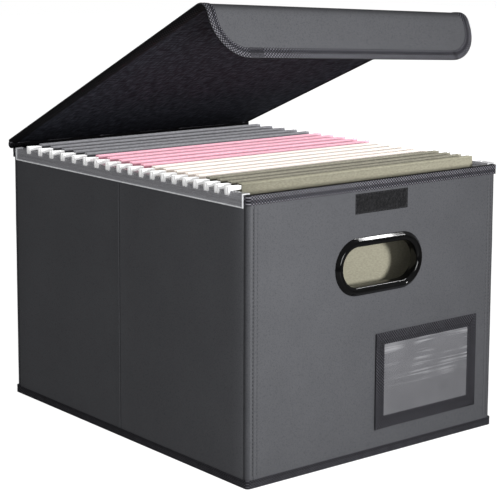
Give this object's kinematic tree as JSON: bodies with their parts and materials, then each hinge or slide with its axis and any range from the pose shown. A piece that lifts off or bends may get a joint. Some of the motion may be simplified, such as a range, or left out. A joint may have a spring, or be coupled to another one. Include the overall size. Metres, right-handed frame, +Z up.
{
  "type": "portable file box",
  "caption": "Soft-sided file box of covered boards with a lift-up lid, front flap, oval hand holes, card window and hanging folders on clear rails",
  "frame": {"origin": "centre of the box's footprint, on the surface it stands on", "axes": "+X to the right along the front, +Y from the front into the depth, +Z up"},
  "size_m": [0.3295, 0.4247, 0.4218],
  "materials": {
    "cover": "fine-grained matte faux leather",
    "board": "pressed fibreboard",
    "lining": "plain non-woven cloth",
    "binding_tape": "ribbed woven tape",
    "rail_plastic": "clear",
    "handle_plastic": "glossy moulded",
    "fastening": "hook and loop",
    "window_film": "clear soft film",
    "rod_plastic": "white coated",
    "card_grey": "uncoated card",
    "card_pink": "uncoated card",
    "card_cream": "uncoated card",
    "card_olive": "uncoated card"
  },
  "bodies": {
    "box": {"front_cover": "cover", "back_cover": "cover", "left_cover": "cover", "right_cover": "cover", "bottom_cover": "cover", "front_board": "board", "back_board": "board", "left_boards": "board", "right_boards": "board", "base_board": "lining", "lining": "lining", "corner_seams": "cover", "top_binding": "binding_tape", "bottom_binding": "binding_tape", "left_rail": "rail_plastic", "right_rail": "rail_plastic", "front_handle_plate": "handle_plastic", "front_handle_ring": "handle_plastic", "back_handle_plate": "handle_plastic", "back_handle_ring": "handle_plastic", "loop_patch": "fastening", "window_film": "window_film", "window_tape_frame": "binding_tape", "hinge_hem": "cover"},
    "lid": {"hinge_band": "cover", "lid_cover": "cover", "lid_board": "board", "lid_lining": "lining", "lid_binding": "binding_tape"},
    "flap": {"flap_cover": "cover", "flap_board": "board", "flap_lining": "lining", "flap_binding": "binding_tape", "hook_patch": "fastening"},
    "folder_01": {"folder_01": "card_grey"},
    "folder_02": {"folder_02": "card_grey"},
    "folder_03": {"folder_03": "card_grey"},
    "folder_04": {"folder_04": "card_grey"},
    "folder_05": {"folder_05": "card_grey"},
    "folder_06": {"folder_06": "card_pink"},
    "folder_07": {"folder_07": "card_pink"},
    "folder_08": {"folder_08": "card_pink"},
    "folder_09": {"folder_09": "card_pink"},
    "folder_10": {"folder_10": "card_pink"},
    "folder_11": {"folder_11": "card_cream"},
    "folder_12": {"folder_12": "card_cream"},
    "folder_13": {"folder_13": "card_cream"},
    "folder_14": {"folder_14": "card_cream"},
    "folder_15": {"folder_15": "card_cream"},
    "folder_16": {"folder_16": "card_olive"},
    "folder_17": {"folder_17": "card_olive"},
    "folder_18": {"folder_18": "card_olive"},
    "folder_19": {"folder_19": "card_olive"}
  },
  "joints": [
    {"name": "lid_hinge", "type": "hinge", "parent": "box", "child": "lid", "pos_m": [0, 0.202, 0.233], "axis": [-1, 0, 0], "range_deg": [-21.2, 148.8]},
    {"name": "flap_fold", "type": "hinge", "parent": "lid", "child": "flap", "pos_m": [-0.0025, -0.16003, 0.42373], "axis": [-1, 0, 0], "range_deg": [-2, 100]},
    {"name": "folder_01_slide", "type": "slide", "parent": "box", "child": "folder_01", "axis": [0, 1, 0], "range_m": [-0.0074, 0.027]},
    {"name": "folder_02_slide", "type": "slide", "parent": "box", "child": "folder_02", "axis": [0, 1, 0], "range_m": [-0.0072, 0.0072]},
    {"name": "folder_03_slide", "type": "slide", "parent": "box", "child": "folder_03", "axis": [0, 1, 0], "range_m": [-0.007, 0.007]},
    {"name": "folder_04_slide", "type": "slide", "parent": "box", "child": "folder_04", "axis": [0, 1, 0], "range_m": [-0.0067, 0.0067]},
    {"name": "folder_05_slide", "type": "slide", "parent": "box", "child": "folder_05", "axis": [0, 1, 0], "range_m": [-0.0065, 0.0065]},
    {"name": "folder_06_slide", "type": "slide", "parent": "box", "child": "folder_06", "axis": [0, 1, 0], "range_m": [-0.0063, 0.0063]},
    {"name": "folder_07_slide", "type": "slide", "parent": "box", "child": "folder_07", "axis": [0, 1, 0], "range_m": [-0.0061, 0.0061]},
    {"name": "folder_08_slide", "type": "slide", "parent": "box", "child": "folder_08", "axis": [0, 1, 0], "range_m": [-0.0059, 0.0059]},
    {"name": "folder_09_slide", "type": "slide", "parent": "box", "child": "folder_09", "axis": [0, 1, 0], "range_m": [-0.0057, 0.0057]},
    {"name": "folder_10_slide", "type": "slide", "parent": "box", "child": "folder_10", "axis": [0, 1, 0], "range_m": [-0.0055, 0.0055]},
    {"name": "folder_11_slide", "type": "slide", "parent": "box", "child": "folder_11", "axis": [0, 1, 0], "range_m": [-0.0052, 0.0052]},
    {"name": "folder_12_slide", "type": "slide", "parent": "box", "child": "folder_12", "axis": [0, 1, 0], "range_m": [-0.005, 0.005]},
    {"name": "folder_13_slide", "type": "slide", "parent": "box", "child": "folder_13", "axis": [0, 1, 0], "range_m": [-0.0048, 0.0048]},
    {"name": "folder_14_slide", "type": "slide", "parent": "box", "child": "folder_14", "axis": [0, 1, 0], "range_m": [-0.0046, 0.0046]},
    {"name": "folder_15_slide", "type": "slide", "parent": "box", "child": "folder_15", "axis": [0, 1, 0], "range_m": [-0.0044, 0.0044]},
    {"name": "folder_16_slide", "type": "slide", "parent": "box", "child": "folder_16", "axis": [0, 1, 0], "range_m": [-0.0042, 0.0042]},
    {"name": "folder_17_slide", "type": "slide", "parent": "box", "child": "folder_17", "axis": [0, 1, 0], "range_m": [-0.004, 0.004]},
    {"name": "folder_18_slide", "type": "slide", "parent": "box", "child": "folder_18", "axis": [0, 1, 0], "range_m": [-0.0038, 0.0038]},
    {"name": "folder_19_slide", "type": "slide", "parent": "box", "child": "folder_19", "axis": [0, 1, 0], "range_m": [-0.015, 0.0038]}
  ]
}
